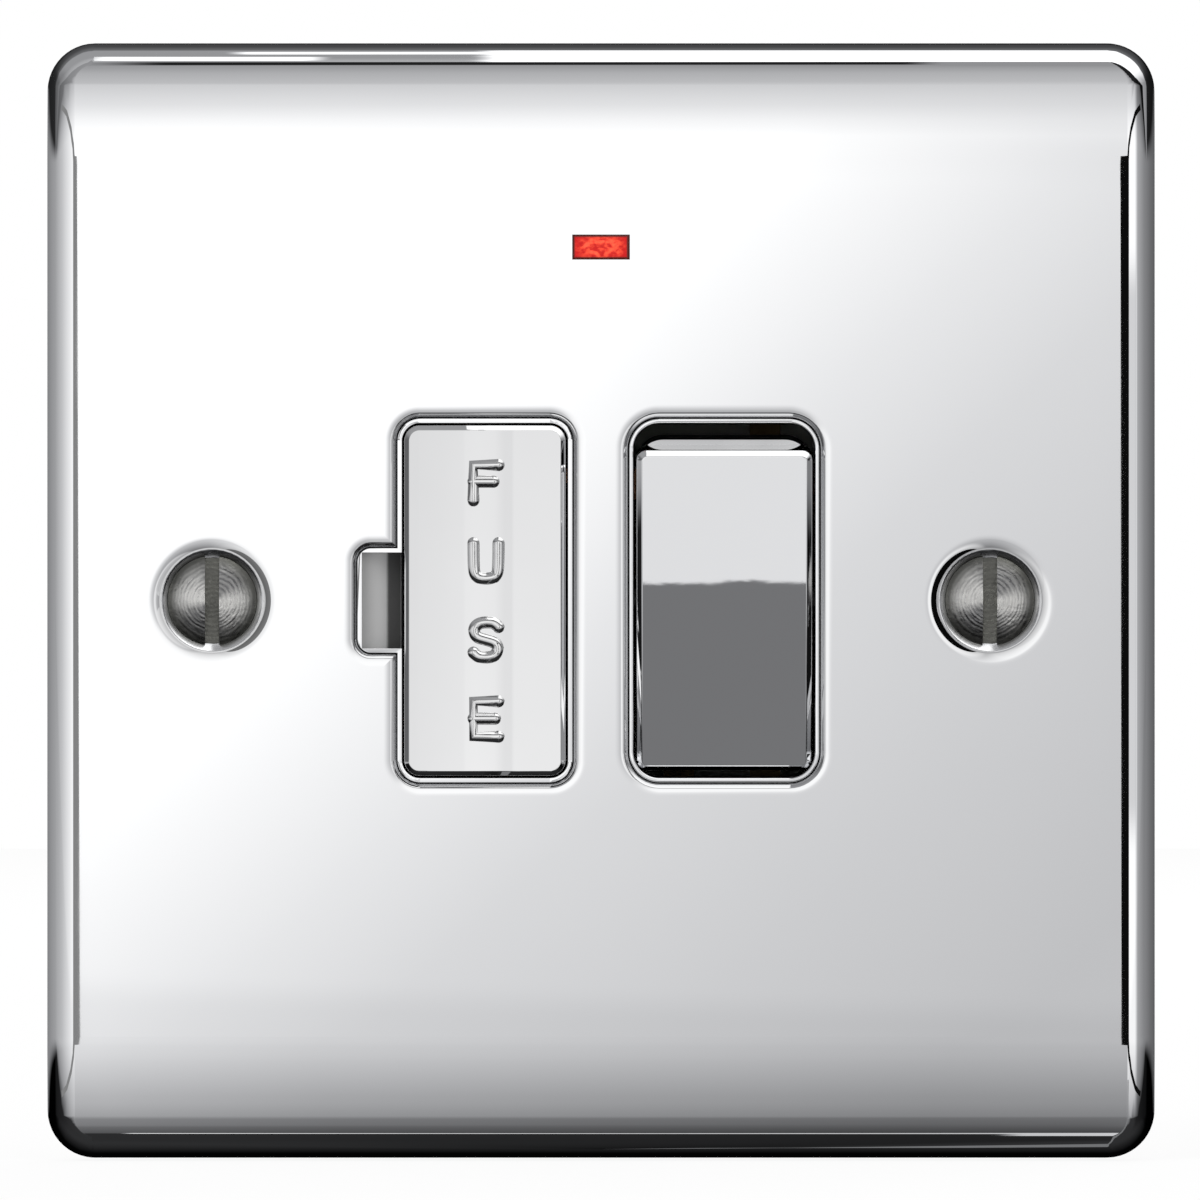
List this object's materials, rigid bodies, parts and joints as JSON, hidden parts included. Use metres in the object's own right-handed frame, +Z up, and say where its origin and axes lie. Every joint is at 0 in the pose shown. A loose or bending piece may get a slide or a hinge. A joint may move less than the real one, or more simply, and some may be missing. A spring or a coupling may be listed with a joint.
{
  "type": "fused spur unit",
  "caption": "Flush square wall accessory with a bright pressed plate, a rocker switch, a pull-out fuse drawer and a neon indicator over a deep moulded housing.",
  "frame": {"origin": "centre of the two fixing screws, in the plane of the plate's rear rim where it meets the wall", "axes": "+X to the right seen from the room, +Y into the wall, +Z up; the front looks along -Y"},
  "size_m": [0.086, 0.0276, 0.0866],
  "materials": {
    "polished_plate": "mirror polished",
    "polished_caps": "polished",
    "trim_rings": "bright",
    "black_moulding": "satin moulded",
    "white_moulding": "moulded",
    "screw_steel": "turned and worn",
    "plated_steel": "zinc plated",
    "brass": "pressed",
    "spring_copper": "rolled",
    "fuse_metal": "nickel plated",
    "fuse_ceramic": "unglazed ceramic",
    "plunger_nylon": "moulded",
    "red_lens": "clear tinted",
    "lamp_glass": "clear",
    "resistor_coat": "coated",
    "tinned_wire": "tinned"
  },
  "bodies": {
    "wall_unit": {"front_plate": "polished_plate", "fuse_bezel": "trim_rings", "rocker_bezel": "trim_rings", "front_moulding": "black_moulding", "rear_housing": "white_moulding", "fixing_screw_left": "screw_steel", "fixing_screw_right": "screw_steel", "housing_screws": "plated_steel", "supply_live_screw": "plated_steel", "supply_earth_screw": "plated_steel", "supply_neutral_screw": "plated_steel", "load_live_screw": "plated_steel", "load_earth_screw": "plated_steel", "load_neutral_screw": "plated_steel", "supply_live_terminal": "brass", "supply_earth_terminal": "brass", "supply_neutral_terminal": "brass", "load_live_terminal": "brass", "load_earth_terminal": "brass", "load_neutral_terminal": "brass", "contact_saddle_live": "brass", "contact_saddle_neutral": "brass", "fixed_contact_live": "brass", "fixed_contact_neutral": "brass", "earth_strap": "brass", "fuse_clip_upper": "spring_copper", "fuse_clip_lower": "spring_copper", "neon_lens": "red_lens", "neon_lamp": "lamp_glass", "neon_resistor": "resistor_coat", "neon_lead_live": "tinned_wire", "neon_lead_neutral": "tinned_wire"},
    "rocker": {"rocker_cap": "polished_caps", "rocker_body": "black_moulding", "plunger_live": "plunger_nylon", "plunger_neutral": "plunger_nylon", "plunger_spring_live": "plated_steel", "plunger_spring_neutral": "plated_steel"},
    "live_arm": {"contact_arm_live": "spring_copper"},
    "neutral_arm": {"contact_arm_neutral": "spring_copper"},
    "fuse_drawer": {"fuse_cap": "polished_caps", "fuse_tray": "black_moulding", "fuse_barrel": "fuse_ceramic", "fuse_end_upper": "fuse_metal", "fuse_end_lower": "fuse_metal"}
  },
  "joints": [
    {"name": "rocker_tilt", "type": "hinge", "parent": "wall_unit", "child": "rocker", "pos_m": [0.00955, 0.0007, 0], "axis": [1, 0, 0], "range_deg": [-15, 0]},
    {"name": "live_arm_rock", "type": "hinge", "parent": "wall_unit", "child": "live_arm", "pos_m": [0.00615, 0.0127, 0], "axis": [1, 0, 0], "range_deg": [0, 19.01]},
    {"name": "neutral_arm_rock", "type": "hinge", "parent": "wall_unit", "child": "neutral_arm", "pos_m": [0.01295, 0.0127, 0], "axis": [1, 0, 0], "range_deg": [0, 19.01]},
    {"name": "drawer_slide", "type": "slide", "parent": "wall_unit", "child": "fuse_drawer", "axis": [0, -1, 0], "range_m": [0, 0.0115]}
  ],
  "couplings": [
    {"joint": "live_arm_rock", "follows": "rocker_tilt", "ratio": -1.2667},
    {"joint": "neutral_arm_rock", "follows": "rocker_tilt", "ratio": -1.2667}
  ]
}
